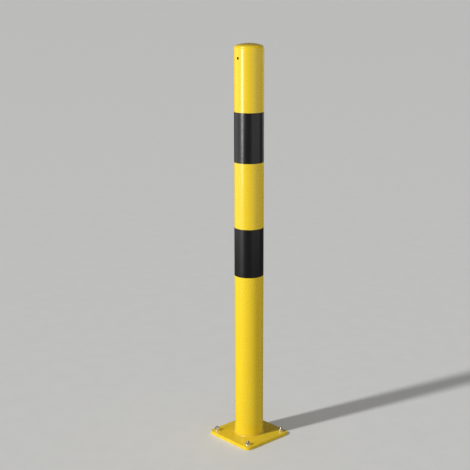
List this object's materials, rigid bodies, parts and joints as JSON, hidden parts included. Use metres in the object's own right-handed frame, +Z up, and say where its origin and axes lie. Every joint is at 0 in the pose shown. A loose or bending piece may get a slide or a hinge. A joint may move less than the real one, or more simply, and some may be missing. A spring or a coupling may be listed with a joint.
{
  "type": "safety bollard",
  "caption": "Round steel safety bollard, yellow with black bands, welded to a square base plate that anchors hold to the floor.",
  "frame": {"origin": "middle of the base plate's underside, at floor level, on the post's axis", "axes": "+Z up along the post; -Y is the front, the side that the vent hole faces; +X to the right, along the plate's front edge"},
  "size_m": [0.18, 0.18, 1.2298],
  "materials": {
    "yellow_paint": "satin yellow powder coat on steel",
    "black_film": "semi-gloss black self-adhesive film",
    "zinc_plated_steel": "bright zinc plate on steel"
  },
  "bodies": {
    "root": {"base_plate": "yellow_paint", "post_tube": "yellow_paint", "top_cap": "yellow_paint", "cap_weld": "yellow_paint", "base_weld": "yellow_paint", "upper_black_band": "black_film", "lower_black_band": "black_film", "anchor_stud_front_left": "zinc_plated_steel", "flat_washer_front_left": "zinc_plated_steel", "lock_washer_front_left": "zinc_plated_steel", "hex_nut_front_left": "zinc_plated_steel", "anchor_stud_front_right": "zinc_plated_steel", "flat_washer_front_right": "zinc_plated_steel", "lock_washer_front_right": "zinc_plated_steel", "hex_nut_front_right": "zinc_plated_steel", "anchor_stud_back_right": "zinc_plated_steel", "flat_washer_back_right": "zinc_plated_steel", "lock_washer_back_right": "zinc_plated_steel", "hex_nut_back_right": "zinc_plated_steel", "anchor_stud_back_left": "zinc_plated_steel", "flat_washer_back_left": "zinc_plated_steel", "lock_washer_back_left": "zinc_plated_steel", "hex_nut_back_left": "zinc_plated_steel"}
  },
  "joints": []
}
